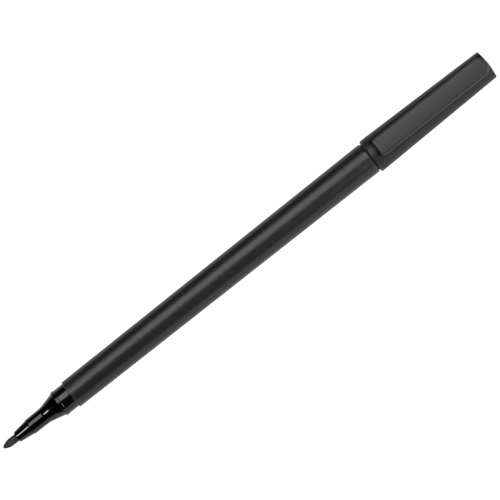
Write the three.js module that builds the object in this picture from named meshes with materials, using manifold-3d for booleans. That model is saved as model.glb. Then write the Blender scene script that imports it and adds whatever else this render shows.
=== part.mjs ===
// A slim permanent marker with its cap posted on the back end.
// Millimetres. The pen's axis runs along X, writing point towards -X, pocket clip up (+Z).
// The pen's pieces are drawn with the barrel's front face at x = 0, the cap's with their mouth at
// x = 0, all round an axis at z = 0. The finished marker is then laid on z = 0, centred on the origin.
import * as THREE from "three";
import { mergeVertices } from "three/addons/utils/BufferGeometryUtils.js";
import Module from "manifold-3d";

const wasm = await Module();
wasm.setup();

// Fineness of the faces
const roundSides = 40;
const nibSides = 24;
const cornerSteps = 3;
const planSteps = 6;
const pointSteps = 7;
const mergeDistance = 1e-4;

// Nib: one rod of bonded fibre with a blunt bullet point
const nibDiameter = 2.08;
const nibExposed = 4.4;
const nibPointLength = 2.6;
const nibPointBluntness = 0.42;
const nibShoulder = 1.2;
const nibInReservoir = 7;
const nibRearTaper = 2.4;
const nibRearDiameter = 0.9;

// Nose section, one moulding from its front face back to the spigot in the barrel
const nibClearance = 0.04;
const lipWall = 0.37;
const lipRounding = 0.12;
const airChannelDepth = 0.3;
const nozzleWall = 0.76;
const nozzleLength = 4.95;
const nozzleDraft = THREE.MathUtils.degToRad(0.5);
const tipConeLength = 4.05;
const tipConeStep = 0.165;
const stepLength = 0.35;
const stepRounding = 0.12;
const flareLength = 4.45;
const flareFoot = 0.9;
const flareStep = 0.205;
const collarLength = 4;
const beadLength = 0.95;
const beadHeight = 0.07;
const beadRounding = 0.1;
const collarFoot = 0.12;
const gripRibCount = 6;
const gripRibThickness = 0.45;
const gripLandBeyondStep = 0.6;
const noseWallShift = 0.7;
const noseSpigotLength = 9;
const noseSpigotWall = 0.65;
const spigotLead = 0.4;

// Barrel, a tapered tube that is open at both ends
const barrelLength = 98.7;
const barrelFrontWall = 0.775;
const barrelRearWall = 0.92;
const barrelTaper = THREE.MathUtils.degToRad(0.2554);
const barrelEdge = 0.1;
const collarStep = 0.38;
const spigotFit = 0.05;
const snapDistance = 3.2;
const snapHeight = 0.12;
const snapLength = 1;
const barrelRibCount = 6;
const barrelRibThickness = 0.5;
const barrelRibHeight = 0.25;
const barrelRibLead = 1.5;

// Ink reservoir, a bundle of fibre, and the film round it
const filmFit = 0.05;
const filmWall = 0.08;
const bundleFit = 0.03;
const bundleEndGap = 0.1;
const nibHoleFit = 0.1;

// End plug, with the tail that carries the posted cap
const plugSpigotLength = 7;
const plugWall = 0.8;
const plugFlangeThickness = 0.5;
const plugFlangeStep = 0.2;
const plugStopArms = 4;
const plugStopLength = 5;
const plugStopThickness = 0.6;
const tailConeLength = 3.6;
const tailConeClearance = 0.15;
const tailEdge = 0.3;
const postedGap = 0.1;

// Inner cap, the soft cup whose lip seals on the nose's flare
const sealAirGap = 0.815;
const innerCapWall = 0.5;
const innerCapLip = 0.15;
const innerCapHeadroom = 2;
const innerCapEdge = 0.3;

// Cap shell
const innerCapFit = 0.05;
const innerCapSeatStep = 0.1;
const capFit = 0.115;
const capMouthWall = 1.2;
const capMouthEdge = 0.45;
const capMouthLead = 0.5;
const capSnapDistance = 2.2;
const capSnapHeight = 0.055;
const capSnapLength = 0.8;
const capTaper = THREE.MathUtils.degToRad(1.154);
const capHollowLength = 10;
const capHollowShoulder = 0.6;
const capHollowRounding = 0.5;
const capCrown = 4.2;
const capEndDome = 0.42;
const capEndFlatRadius = 1.4;
const capEndRounding = 1;
const capEndEdge = 0.28;

// Pocket clip, a flat tongue with a tenon that sits in a slot in the cap's crown
const clipWidth = 5.2;
const clipStart = 2.9;
const clipRootInset = 0.45;
const clipGap = 0.95;
const clipRootThickness = 1.15;
const clipTipThickness = 0.95;
const clipTipCorner = 0.9;
const clipRootCorner = 1.7;
const clipBevel = 0.42;
const clipBevelSteps = 2;
const clipBumpLength = 3.6;
const clipBumpInset = 0.7;
const clipBumpFlat = 1.3;
const clipBumpRounding = 0.6;
const clipBumpGap = 0.3;
const clipSeatLength = 3.75;
const clipSeatWidth = 3.8;
const clipSeatInset = 0.15;
const clipSeatCorner = 0.5;
const tenonLength = 1.6;
const tenonWidth = 2.4;
const tenonDepth = 2.2;
const tenonInset = 0.75;
const tenonClearance = 0.3;

// How far a rib or a tenon runs into the wall that it grows from, and how far a cut overshoots
const rooted = 0.2;
const overshoot = 2;

// Radii, from the nib outward
const nibRadius = nibDiameter / 2;
const nibRearRadius = nibRearDiameter / 2;
const gripRadius = nibRadius + nibClearance;
const channelRadius = gripRadius + airChannelDepth;
const lipRadius = gripRadius + lipWall;
const nozzleFrontRadius = channelRadius + nozzleWall;
const nozzleRearRadius = nozzleFrontRadius + nozzleLength * Math.tan(nozzleDraft);
const innerCapBore = nozzleRearRadius + sealAirGap;
const innerCapRadius = innerCapBore + innerCapWall;
const innerCapSeat = innerCapRadius + innerCapFit;
const capMouthBore = innerCapSeat + innerCapSeatStep;
const capMouthRadius = capMouthBore + capMouthWall;
const collarRadius = capMouthBore - capFit;
const flareRadius = collarRadius - flareStep;
const flareSlope = (flareRadius - nozzleRearRadius) / flareLength;
const barrelFrontRadius = collarRadius + collarStep;
const barrelRearRadius = barrelFrontRadius + barrelLength * Math.tan(barrelTaper);
const boreFrontRadius = barrelFrontRadius - barrelFrontWall;
const boreRearRadius = barrelRearRadius - barrelRearWall;
const filmRadius = boreFrontRadius - barrelRibHeight - filmFit;
const filmBore = filmRadius - filmWall;
const bundleRadius = filmBore - bundleFit;

// Places along the pen, from the barrel's front face
const flareX = -collarLength;
const nozzleRearX = flareX - flareLength;
const nozzleFrontX = nozzleRearX - nozzleLength;
const tipConeRearX = nozzleFrontX - stepLength;
const nozzleFaceX = tipConeRearX - tipConeLength;
const nibTipX = nozzleFaceX - nibExposed;
const nibRearX = noseSpigotLength + nibInReservoir;
const plugMouthX = barrelLength - plugSpigotLength;
const plugFaceX = barrelLength + plugFlangeThickness;
const bundleFrontX = noseSpigotLength + bundleEndGap;
const bundleRearX = plugMouthX - bundleEndGap;

// Places along the cap, from its mouth. Capped, the mouth meets the barrel's front face.
const sealX = collarLength + (flareRadius - innerCapBore) / flareSlope;
const innerCapMouthX = sealX - innerCapLip / flareSlope;
const innerCapFloorX = innerCapHeadroom - nibTipX;
const innerCapEndX = innerCapFloorX + innerCapWall;
const crownX = innerCapEndX + capHollowLength;
const capLength = crownX + capCrown;
const capEndRadius = capMouthRadius - capLength * Math.tan(capTaper);
const clipSeatZ = capEndRadius + clipGap;
const clipRootX = capLength - clipRootInset;
const clipLength = clipRootX - clipStart;

// Radius of the barrel's bore at a place along the pen
function boreRadius(x) {
  return boreFrontRadius + (boreRearRadius - boreFrontRadius) * x / barrelLength;
}

// Radius of the cap's outside at a place along the cap
function capRadius(x) {
  return capMouthRadius - x * Math.tan(capTaper);
}

// A closed outline through corners [across, along, rounding]. A corner with a rounding becomes a
// curve that starts and ends that far from it.
function outline(corners) {
  const shape = new THREE.Shape();
  const points = corners.map(([across, along]) => new THREE.Vector2(across, along));
  corners.forEach(([, , rounding = 0], i) => {
    const corner = points[i];
    const towards = (point) => point.clone().sub(corner).setLength(rounding).add(corner);
    const start = towards(points.at(i - 1));
    const end = towards(points[(i + 1) % points.length]);
    if (i === 0) shape.moveTo(start.x, start.y);
    else shape.lineTo(start.x, start.y);
    if (rounding > 0) shape.quadraticCurveTo(corner.x, corner.y, end.x, end.y);
  });
  shape.closePath();
  return shape;
}

// A closed mesh as a solid that can be joined and cut
function toSolid(geometry) {
  geometry.deleteAttribute("normal");
  geometry.deleteAttribute("uv");
  const merged = mergeVertices(geometry, mergeDistance);
  const corners = merged.index.array;
  const triVerts = [];
  for (let i = 0; i < corners.length; i += 3) {
    const triangle = [corners[i], corners[i + 1], corners[i + 2]];
    if (new Set(triangle).size === 3) triVerts.push(...triangle);
  }
  return new wasm.Manifold(new wasm.Mesh({
    numProp: 3,
    vertProperties: merged.attributes.position.array,
    triVerts: new Uint32Array(triVerts),
  }));
}

// A named piece with its own material
function piece(name, solid, color, roughness) {
  const mesh = solid.getMesh();
  const geometry = new THREE.BufferGeometry();
  geometry.setAttribute("position", new THREE.BufferAttribute(mesh.vertProperties, 3));
  geometry.setIndex(new THREE.BufferAttribute(mesh.triVerts, 1));
  geometry.computeVertexNormals();
  const material = new THREE.MeshStandardMaterial({ color, roughness, metalness: 0 });
  const result = new THREE.Mesh(geometry, material);
  result.name = name;
  return result;
}

// A shape of radius and x, turned round the axis, with a flat side at the top and at the bottom
function revolve(shape, sides = roundSides, steps = cornerSteps) {
  const lathe = new THREE.LatheGeometry(shape.getPoints(steps), sides, Math.PI / sides);
  return toSolid(lathe.rotateZ(-Math.PI / 2));
}

// A block between two corners
function block(low, high) {
  const size = high.map((value, i) => value - low[i]);
  const middle = high.map((value, i) => (value + low[i]) / 2);
  return toSolid(new THREE.BoxGeometry(...size).translate(...middle));
}

// Ribs that lie in planes through the axis, spread evenly round it and joined to a solid
function addRibs(solid, count, thickness, [x0, x1], [innerRadius, outerRadius]) {
  for (let i = 0; i < count; i += 1) {
    const rib = new THREE.BoxGeometry(x1 - x0, thickness, outerRadius - innerRadius);
    rib.translate((x0 + x1) / 2, 0, (innerRadius + outerRadius) / 2);
    rib.rotateX(i * 2 * Math.PI / count);
    solid = solid.add(toSolid(rib));
  }
  return solid;
}

// Corners of a low snap ring on a spigot, or of the groove in the bore that it sits in
function snapRing(middleX, inset) {
  const profile = [[-0.5, 0], [-0.25, snapHeight], [0.25, snapHeight], [0.5, 0]];
  return profile.map(([share, height]) => {
    const x = middleX + share * snapLength;
    return [boreRadius(x) - inset + height, x];
  });
}

const noseSnapX = noseSpigotLength - snapDistance;
const plugSnapX = plugMouthX + snapDistance;

function makeNib() {
  const shape = new THREE.Shape();
  const shoulderX = nibTipX + nibPointLength;
  shape.moveTo(0, nibTipX);
  shape.bezierCurveTo(nibPointBluntness, nibTipX, nibRadius, shoulderX - nibShoulder, nibRadius, shoulderX);
  shape.lineTo(nibRadius, nibRearX - nibRearTaper);
  shape.lineTo(nibRearRadius, nibRearX);
  shape.lineTo(0, nibRearX);
  shape.closePath();
  return revolve(shape, nibSides, pointSteps);
}

// The stepped, hollow nose. Its ribs hold the nib, and air passes between them as ink runs out.
function makeNoseSection() {
  const beadRadius = collarRadius + beadHeight;
  const tipConeRadius = nozzleFrontRadius - tipConeStep;
  const spigotBore = boreFrontRadius - spigotFit - noseSpigotWall;
  const landEndX = nozzleFrontX + gripLandBeyondStep;
  const channelEndX = nozzleRearX + noseWallShift;
  const shell = revolve(outline([
    [gripRadius, nozzleFaceX],
    [lipRadius, nozzleFaceX, lipRounding],
    [tipConeRadius, tipConeRearX, stepRounding],
    [nozzleFrontRadius, nozzleFrontX, stepRounding],
    [nozzleRearRadius, nozzleRearX, flareFoot],
    [flareRadius, flareX],
    [beadRadius, flareX, beadRounding],
    [beadRadius, flareX + beadLength - beadRounding, beadRounding],
    [collarRadius, flareX + beadLength],
    [collarRadius, -collarFoot],
    [collarRadius + collarFoot, 0],
    [boreRadius(0) - spigotFit, 0],
    ...snapRing(noseSnapX, spigotFit),
    [boreRadius(noseSpigotLength) - spigotFit, noseSpigotLength, spigotLead],
    [spigotBore, noseSpigotLength],
    [spigotBore, flareX + noseWallShift],
    [channelRadius, channelEndX],
    [channelRadius, landEndX],
    [gripRadius, landEndX - airChannelDepth],
  ]));
  const ribEnds = [landEndX - airChannelDepth, channelEndX];
  const ribRadii = [gripRadius, channelRadius + rooted];
  return addRibs(shell, gripRibCount, gripRibThickness, ribEnds, ribRadii);
}

// The tube, with a snap groove near each end and ribs that centre the reservoir
function makeBarrel() {
  const tube = revolve(outline([
    [boreFrontRadius, 0],
    [barrelFrontRadius, 0, barrelEdge],
    [barrelRearRadius, barrelLength, barrelEdge],
    [boreRearRadius, barrelLength],
    ...snapRing(plugSnapX, 0).reverse(),
    ...snapRing(noseSnapX, 0).reverse(),
  ]));
  const ribEnds = [noseSpigotLength + barrelRibLead, plugMouthX - barrelRibLead];
  const ribRadii = [filmRadius + filmFit, boreRearRadius + rooted];
  return addRibs(tube, barrelRibCount, barrelRibThickness, ribEnds, ribRadii);
}

// The fibre bundle, pierced at the front by the nib's rear end
function makeReservoir() {
  const holeEndX = nibRearX + nibHoleFit;
  return revolve(outline([
    [nibRadius + nibHoleFit, bundleFrontX],
    [bundleRadius, bundleFrontX],
    [bundleRadius, bundleRearX],
    [0, bundleRearX],
    [0, holeEndX],
    [nibRearRadius + nibHoleFit, holeEndX],
    [nibRadius + nibHoleFit, holeEndX - nibRearTaper],
  ]));
}

function makeFilm() {
  return revolve(outline([
    [filmBore, bundleFrontX],
    [filmRadius, bundleFrontX],
    [filmRadius, bundleRearX],
    [filmBore, bundleRearX],
  ]));
}

// The plug is a deep cup. Its crossed ribs stop the reservoir, and its tail repeats the nose's
// collar and flare, so that the cap seats the same way at both ends.
function makeEndPlug() {
  const plugBore = boreRadius(plugMouthX) - spigotFit - plugWall;
  const flangeRadius = barrelRearRadius - plugFlangeStep;
  const coneX = plugFaceX + collarLength;
  const coneRadius = flareRadius - tailConeClearance;
  const tailX = coneX + tailConeLength;
  const tailRadius = coneRadius - flareSlope * tailConeLength;
  const cup = revolve(outline([
    [plugBore, plugMouthX],
    [boreRadius(plugMouthX) - spigotFit, plugMouthX, spigotLead],
    ...snapRing(plugSnapX, spigotFit),
    [boreRadius(barrelLength) - spigotFit, barrelLength],
    [flangeRadius, barrelLength],
    [flangeRadius, plugFaceX],
    [collarRadius, plugFaceX],
    [collarRadius, coneX - tailEdge],
    [coneRadius, coneX],
    [tailRadius, tailX, tailEdge],
    [0, tailX],
    [0, tailX - plugWall],
    [tailRadius - plugWall, tailX - plugWall],
    [plugBore, coneX - plugWall],
  ]));
  const stopEnds = [plugMouthX, plugMouthX + plugStopLength];
  const stopRadii = [-rooted, plugBore + rooted];
  return addRibs(cup, plugStopArms, plugStopThickness, stopEnds, stopRadii);
}

// The sealing cup. Its lip is bevelled to the slope of the nose's flare.
function makeInnerCap() {
  return revolve(outline([
    [innerCapBore + innerCapLip, innerCapMouthX],
    [innerCapRadius, innerCapMouthX],
    [innerCapRadius, innerCapEndX, innerCapEdge],
    [0, innerCapEndX],
    [0, innerCapFloorX],
    [innerCapBore, innerCapFloorX, innerCapEdge],
    [innerCapBore, sealX],
  ]));
}

// The outer cap: a drafted shell with a snap ridge in its mouth, a seat for the inner cap, a hollow
// beyond it, and a solid crown that carries the clip's seat and slot
function makeCapShell() {
  const seatX = innerCapMouthX - innerCapSeatStep;
  const ridgeX = capSnapDistance;
  const ridgeRadius = capMouthBore - capSnapHeight;
  const hollowRadius = innerCapSeat - capHollowShoulder;
  const shell = revolve(outline([
    [capMouthBore + capMouthLead, 0],
    [capRadius(0), 0, capMouthEdge],
    [capRadius(capLength - capEndDome), capLength - capEndDome, capEndEdge],
    [capEndFlatRadius + capEndRounding, capLength, capEndRounding],
    [0, capLength],
    [0, crownX],
    [hollowRadius, crownX, capHollowRounding],
    [hollowRadius, innerCapEndX],
    [innerCapSeat, innerCapEndX],
    [innerCapSeat, seatX],
    [capMouthBore, seatX - innerCapSeatStep],
    [capMouthBore, ridgeX + capSnapLength / 2],
    [ridgeRadius, ridgeX + capSnapLength / 4],
    [ridgeRadius, ridgeX - capSnapLength / 4],
    [capMouthBore, ridgeX - capSnapLength / 2],
    [capMouthBore, capMouthLead],
  ]));
  const seatOutline = outline([
    [clipRootX - clipSeatInset, -clipSeatWidth / 2],
    [clipRootX - clipSeatInset, clipSeatWidth / 2],
    [clipRootX - clipSeatLength, clipSeatWidth / 2, clipSeatCorner],
    [clipRootX - clipSeatLength, -clipSeatWidth / 2, clipSeatCorner],
  ]);
  const seatFootZ = Math.sqrt(capEndRadius ** 2 - (clipSeatWidth / 2) ** 2) - rooted;
  const seat = new THREE.ExtrudeGeometry(seatOutline, {
    depth: clipSeatZ - seatFootZ,
    bevelEnabled: false,
    curveSegments: cornerSteps,
  });
  const slotWidth = tenonWidth + 2 * tenonClearance;
  const slotEndX = clipRootX - tenonInset + tenonClearance;
  const slotStartX = clipRootX - tenonInset - tenonLength - tenonClearance;
  const slot = block(
    [slotStartX, -slotWidth / 2, clipSeatZ - tenonDepth - tenonClearance],
    [slotEndX, slotWidth / 2, clipSeatZ + overshoot],
  );
  return shell.add(toSolid(seat.translate(0, 0, seatFootZ))).subtract(slot);
}

// The tongue, drawn from its root: x = 0 at the root's end, z = 0 on its seat. Its plan, with a
// bevelled top edge, follows the cap's slope, and its side view gives the underside and the bump.
function makeClip() {
  const rise = Math.tan(capTaper);
  const plan = new THREE.ExtrudeGeometry(outline([
    [0, -clipWidth / 2, clipRootCorner],
    [0, clipWidth / 2, clipRootCorner],
    [-clipLength, clipWidth / 2, clipTipCorner],
    [-clipLength, -clipWidth / 2, clipTipCorner],
  ]), {
    depth: clipRootThickness + overshoot,
    bevelThickness: clipBevel,
    bevelSize: clipBevel,
    bevelOffset: -clipBevel,
    bevelSegments: clipBevelSteps,
    curveSegments: planSteps,
  });
  plan.translate(0, 0, -clipRootThickness - overshoot - clipBevel);
  plan.rotateY(capTaper);
  plan.translate(0, 0, clipRootThickness);

  const undersideZ = (x) => clipRootThickness - x * rise - clipTipThickness;
  const bumpTipX = -clipLength + clipBumpInset;
  const bumpRootX = bumpTipX + clipBumpLength;
  const bumpMiddleX = (bumpTipX + bumpRootX) / 2;
  const bumpZ = capRadius(clipRootX + bumpMiddleX) + clipBumpGap - clipSeatZ;
  const aboveZ = undersideZ(-clipLength) + clipTipThickness + overshoot;
  const side = new THREE.ExtrudeGeometry(outline([
    [overshoot, 0],
    [overshoot, aboveZ],
    [-clipLength - overshoot, aboveZ],
    [-clipLength - overshoot, undersideZ(-clipLength)],
    [bumpTipX, undersideZ(bumpTipX)],
    [bumpMiddleX - clipBumpFlat / 2, bumpZ, clipBumpRounding],
    [bumpMiddleX + clipBumpFlat / 2, bumpZ, clipBumpRounding],
    [bumpRootX, undersideZ(bumpRootX)],
    [-clipSeatLength, 0],
  ]), {
    depth: clipWidth + overshoot,
    bevelEnabled: false,
    curveSegments: cornerSteps,
  });
  side.rotateX(Math.PI / 2);
  side.translate(0, (clipWidth + overshoot) / 2, 0);

  const tenon = block(
    [-tenonInset - tenonLength, -tenonWidth / 2, -tenonDepth],
    [-tenonInset, tenonWidth / 2, rooted],
  );
  return toSolid(plan).intersect(toSolid(side)).add(tenon);
}

// The pen, with the cap posted on its tail and the clip at its seat on the cap
const marker = new THREE.Group();
marker.add(
  piece("barrel", makeBarrel(), 0x2a2a2b, 0.55),
  piece("nose_section", makeNoseSection(), 0x0c0c0d, 0.12),
  piece("nib", makeNib(), 0x3c3c3d, 0.95),
  piece("ink_reservoir", makeReservoir(), 0x232325, 0.95),
  piece("reservoir_film", makeFilm(), 0xd8d8d6, 0.3),
  piece("end_plug", makeEndPlug(), 0x1a1a1b, 0.45),
);

const cap = new THREE.Group();
cap.position.x = plugFaceX + postedGap;
cap.add(
  piece("cap_shell", makeCapShell(), 0x2a2a2b, 0.5),
  piece("inner_cap", makeInnerCap(), 0x262627, 0.4),
);
marker.add(cap);

const clip = piece("pocket_clip", makeClip(), 0x2e2e2f, 0.5);
clip.position.set(clipRootX, 0, clipSeatZ);
cap.add(clip);

// Laid on z = 0, with its length centred on the origin
const extent = new THREE.Box3().setFromObject(marker, true);
const middle = extent.getCenter(new THREE.Vector3());
marker.position.set(-middle.x, 0, -extent.min.z);

export default marker;
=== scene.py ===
# %% [markdown]
# # A slim permanent marker, with its cap posted on the back
#
# This lesson dresses a finished CAD model of a felt-tipped marker. The CAD part is the frame: it
# says where each piece is and how it moves. Here every piece is modelled again with smooth edges
# and real roundings, gets the plastic or fibre that it is made of, and is lit as in a small studio.
#
# The pieces, from the writing end: a fibre nib, a glossy nose moulding, a satin barrel with its
# ink bundle inside, a tail plug, and the posted cap with its sealing cup and pocket clip.

import math

import bmesh
import bpy
from mathutils import Matrix, Vector


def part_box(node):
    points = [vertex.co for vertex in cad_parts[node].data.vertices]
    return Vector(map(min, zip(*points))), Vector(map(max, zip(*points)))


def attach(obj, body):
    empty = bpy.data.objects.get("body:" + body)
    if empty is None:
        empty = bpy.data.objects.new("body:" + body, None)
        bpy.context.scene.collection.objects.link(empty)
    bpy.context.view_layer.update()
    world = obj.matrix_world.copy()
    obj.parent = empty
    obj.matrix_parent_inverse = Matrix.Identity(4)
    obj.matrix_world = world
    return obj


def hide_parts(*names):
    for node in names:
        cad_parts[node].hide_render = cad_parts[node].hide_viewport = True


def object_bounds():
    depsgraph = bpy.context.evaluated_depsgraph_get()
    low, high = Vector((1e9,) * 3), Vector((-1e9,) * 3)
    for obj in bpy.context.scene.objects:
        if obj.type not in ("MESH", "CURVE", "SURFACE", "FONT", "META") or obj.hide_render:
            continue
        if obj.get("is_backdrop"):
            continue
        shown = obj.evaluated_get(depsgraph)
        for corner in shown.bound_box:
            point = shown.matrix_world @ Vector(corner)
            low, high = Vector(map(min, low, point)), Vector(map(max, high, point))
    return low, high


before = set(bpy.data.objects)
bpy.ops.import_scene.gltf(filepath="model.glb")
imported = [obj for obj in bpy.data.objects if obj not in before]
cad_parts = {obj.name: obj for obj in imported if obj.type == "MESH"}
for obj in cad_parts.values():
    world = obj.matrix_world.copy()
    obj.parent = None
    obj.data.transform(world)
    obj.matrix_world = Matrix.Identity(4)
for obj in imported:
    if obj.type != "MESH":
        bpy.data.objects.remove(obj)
cad_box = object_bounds()

# %% [markdown]
# ## Millimetres and the axis
#
# A pen is drawn in millimetres, and Blender works in metres, so one constant turns them. All the
# round pieces share one axis. It lies along X, at half the height of the barrel. Places along it
# are counted from the front of the barrel, of the cap or of the piece itself, and on the clip from
# its root. A name that ends in _x, _y or _z is a place in metres. Sections and the sizes of pieces
# are in millimetres.

# %% Places taken from the frame
MM = 0.001
SAME_PLACE = 1e-7  # in metres: points nearer to each other than this are one
CREASE = math.radians(30)

barrel_low, barrel_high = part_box("barrel")
cap_low, cap_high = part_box("cap_shell")
axis_z = (barrel_low.z + barrel_high.z) / 2
barrel_face_x = barrel_low.x
cap_mouth_x = cap_low.x
cap_end_x = cap_high.x
clip_inset = 0.45
clip_root_x = cap_end_x - clip_inset * MM
clip_seat_z = cap_high.z

print(f"axis {axis_z / MM:.3f} mm up, barrel face at {barrel_face_x / MM:.2f}, "
      f"cap mouth at {cap_mouth_x / MM:.2f}, cap end at {cap_end_x / MM:.2f}")

# %% [markdown]
# ## Picking things in edit mode
#
# A hand modeller clicks on an edge. A script has no mouse, so it says where the edge is. The first
# helper leaves selected only the vertices, edges or faces that pass a test. The other two open a
# new primitive for editing and close a finished piece. Closing it merges doubles, turns the faces
# outwards and shades it smooth, with a crease wherever faces meet at more than 30 degrees.

# %% Helpers for edit mode
def choose(kind, test):
    """Leaves selected only the elements that pass the test. Kind is VERT, EDGE or FACE."""
    bpy.ops.mesh.select_mode(type=kind)
    bpy.ops.mesh.select_all(action="DESELECT")
    data = bpy.context.edit_object.data
    mesh = bmesh.from_edit_mesh(data)
    for element in {"VERT": mesh.verts, "EDGE": mesh.edges, "FACE": mesh.faces}[kind]:
        element.select_set(test(element))
    mesh.select_flush_mode()
    bmesh.update_edit_mesh(data)


def open_piece(name):
    """Names the new primitive, puts its place and size in its mesh and opens it in edit mode."""
    piece = bpy.context.active_object
    piece.name = piece.data.name = name
    bpy.ops.object.transform_apply(location=True, rotation=True, scale=True)
    bpy.ops.object.mode_set(mode="EDIT")
    bpy.ops.mesh.select_all(action="SELECT")
    return piece


def close_piece(piece):
    """Merges doubles, turns the faces outwards and shades them, then says what was made."""
    bpy.ops.mesh.select_all(action="SELECT")
    bpy.ops.mesh.remove_doubles(threshold=0.002 * MM)
    bpy.ops.mesh.normals_make_consistent(inside=False)
    bpy.ops.object.mode_set(mode="OBJECT")
    bpy.ops.object.shade_smooth_by_angle(angle=CREASE)
    size = [round(side / MM, 2) for side in piece.dimensions]
    print(f"{piece.name}: {len(piece.data.polygons)} faces, {size} mm")


# %% [markdown]
# ## Turned pieces
#
# Nearly every piece of a pen is round, because its mould is turned on a lathe. The natural way to
# draw such a piece is the lathe's own: half a section beside the axis, spun once round. A profile
# of loops scaled one by one would do as well, but a section keeps the wall, the bore and each
# rounding in one place, where they can be read as on a workshop drawing.
#
# The section starts as a plane merged to one point. The point is extruded from corner to corner,
# and each corner that is rounded on the real piece gets a vertex bevel of its own.

# %% The section and the spin
SIDES = 144
THIN_SIDES = 96  # enough for a thin piece, or one that is seen only when it is taken out


def draw_section(name, start_x, corners):
    """Draws half a section through corners (x, radius, rounding), in mm along from start_x."""
    places = [Vector((start_x + x * MM, 0, axis_z + radius * MM)) for x, radius, _ in corners]
    bpy.ops.object.select_all(action="DESELECT")
    bpy.ops.mesh.primitive_plane_add(size=MM, location=places[0])
    piece = open_piece(name)
    bpy.ops.mesh.merge(type="CENTER")
    for here, there in zip(places, places[1:]):
        bpy.ops.mesh.extrude_vertices_move(TRANSFORM_OT_translate={"value": there - here})
    if corners[0][1] > 0 or corners[-1][1] > 0:
        ends = (places[0], places[-1])
        choose("VERT", lambda v: min((v.co - end).length for end in ends) < SAME_PLACE)
        bpy.ops.mesh.edge_face_add()
    for place, (_, _, rounding) in zip(places, corners):
        if rounding:
            choose("VERT", lambda v: (v.co - place).length < SAME_PLACE)
            bpy.ops.mesh.bevel(offset=rounding * MM, segments=6, affect="VERTICES")
    return piece


def spin_section(sides=SIDES):
    """Turns the section once round the axis, without the edge that lies on the axis itself."""
    choose("EDGE", lambda e: all(abs(v.co.z - axis_z) < SAME_PLACE for v in e.verts))
    bpy.ops.mesh.delete(type="EDGE")
    bpy.ops.mesh.select_mode(type="VERT")
    bpy.ops.mesh.select_all(action="SELECT")
    bpy.ops.mesh.spin(steps=sides, angle=math.tau, center=(0, 0, axis_z), axis=(1, 0, 0))


# %% [markdown]
# ## Ribs and slots
#
# Ribs stand inside the barrel, the nose and the plug, and the cap has a slot for the clip. Such a
# form is a bar of its own that is joined to the turned piece or cut from it by a Boolean modifier,
# which is then applied. Six ribs are one bar drawn six times, each turned a little further.

# %% Bars and Booleans
def add_bar(name, low, high, turned=0):
    """A bar between two corners, x in metres, y and z in mm from the axis, turned round it."""
    low = Vector((low[0], low[1] * MM, axis_z + low[2] * MM))
    high = Vector((high[0], high[1] * MM, axis_z + high[2] * MM))
    bpy.ops.object.select_all(action="DESELECT")
    bpy.ops.mesh.primitive_cube_add(size=1, location=(low + high) / 2, scale=high - low)
    bar = open_piece(name)
    if turned:
        pivot = (0, 0, axis_z)
        bpy.ops.transform.rotate(value=turned, orient_axis="X", center_override=pivot)
    bpy.ops.object.mode_set(mode="OBJECT")
    return bar


def combine(piece, tool, operation):
    """Joins the tool to the piece (UNION) or cuts it away (DIFFERENCE), and removes the tool."""
    bpy.ops.object.select_all(action="DESELECT")
    piece.select_set(True)
    bpy.context.view_layer.objects.active = piece
    bpy.ops.object.modifier_add(type="BOOLEAN")
    boolean = piece.modifiers[-1]
    boolean.operation = operation
    boolean.object = tool
    boolean.solver = "EXACT"
    bpy.ops.object.modifier_apply(modifier=boolean.name)
    bpy.data.objects.remove(tool)


def add_ribs(piece, count, thickness, ends, radii):
    """Ribs in planes through the axis, between two places along it in metres and two radii."""
    for i in range(count):
        low = (ends[0], -thickness / 2, radii[0])
        high = (ends[1], thickness / 2, radii[1])
        rib = add_bar("rib", low, high, turned=i * math.tau / count)
        combine(piece, rib, "UNION")
    bpy.ops.object.mode_set(mode="EDIT")


# %% [markdown]
# ## The nib
#
# The nib is a rod of acrylic fibres, bonded with resin, cut to length and ground to a blunt
# bullet. The grinding leaves one smooth curve from the flank to the tip, so its profile is a
# Bezier curve, sampled finely enough that the outline shows no corners.

# %% Nib
def bezier(points, steps):
    """Places (x, radius) on the cubic curve that four points (x, radius) shape."""
    places = []
    for i in range(steps + 1):
        t = i / steps
        weights = ((1 - t) ** 3, 3 * t * (1 - t) ** 2, 3 * t * t * (1 - t), t ** 3)
        places.append([sum(w * p[axis] for w, p in zip(weights, points)) for axis in (0, 1)])
    return places


nib_tip = -22.3
nib_radius = 1.07
nib_point_length = 2.6
nib_rear = 16
nib_taper_length = 2.4
nib_rear_radius = 0.45

nib_shoulder = nib_tip + nib_point_length
nib_curve = bezier(
    [(nib_tip, 0), (nib_tip, 0.42), (nib_shoulder - 1.2, nib_radius), (nib_shoulder, nib_radius)],
    steps=18,
)
nib = draw_section("fibre_nib", barrel_face_x, [
    *[(x, radius, 0) for x, radius in nib_curve],
    (nib_rear - nib_taper_length, nib_radius, 0),
    (nib_rear, nib_rear_radius, 0),
    (nib_rear, 0, 0),
])
spin_section(THIN_SIDES)
close_piece(nib)

# %% [markdown]
# ## The nose moulding
#
# The nose is one glossy moulding in steps: a lip round the nib, a short cone, a nozzle, a flare
# that the cap seals on, a small bead, and a collar as wide as the cap's bore. Behind the collar a
# spigot snaps into the barrel. Its roundings are only a few tenths of a millimetre, but on black
# gloss they are what the eye sees, because each one bends the light into a thin bright line.

# %% The barrel's bore, and the snap rings that hold in it
bore_front_radius = 3.138
bore_rear_radius = 3.433
bore_length = 98.7
spigot_play = 0.05
snap_height = 0.12
snap_length = 1.0
nose_snap = 5.8
plug_snap = 94.9


def bore_radius(x):
    """Radius of the barrel's tapered bore."""
    return bore_front_radius + (bore_rear_radius - bore_front_radius) * x / bore_length


def snap_ring(middle, inset):
    """The corners of a low ring on a spigot, or of the groove that takes it."""
    profile = [(-0.5, 0), (-0.25, snap_height), (0.25, snap_height), (0.5, 0)]
    places = [(middle + share * snap_length, height) for share, height in profile]
    return [(x, bore_radius(x) - inset + height, 0) for x, height in places]


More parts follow.
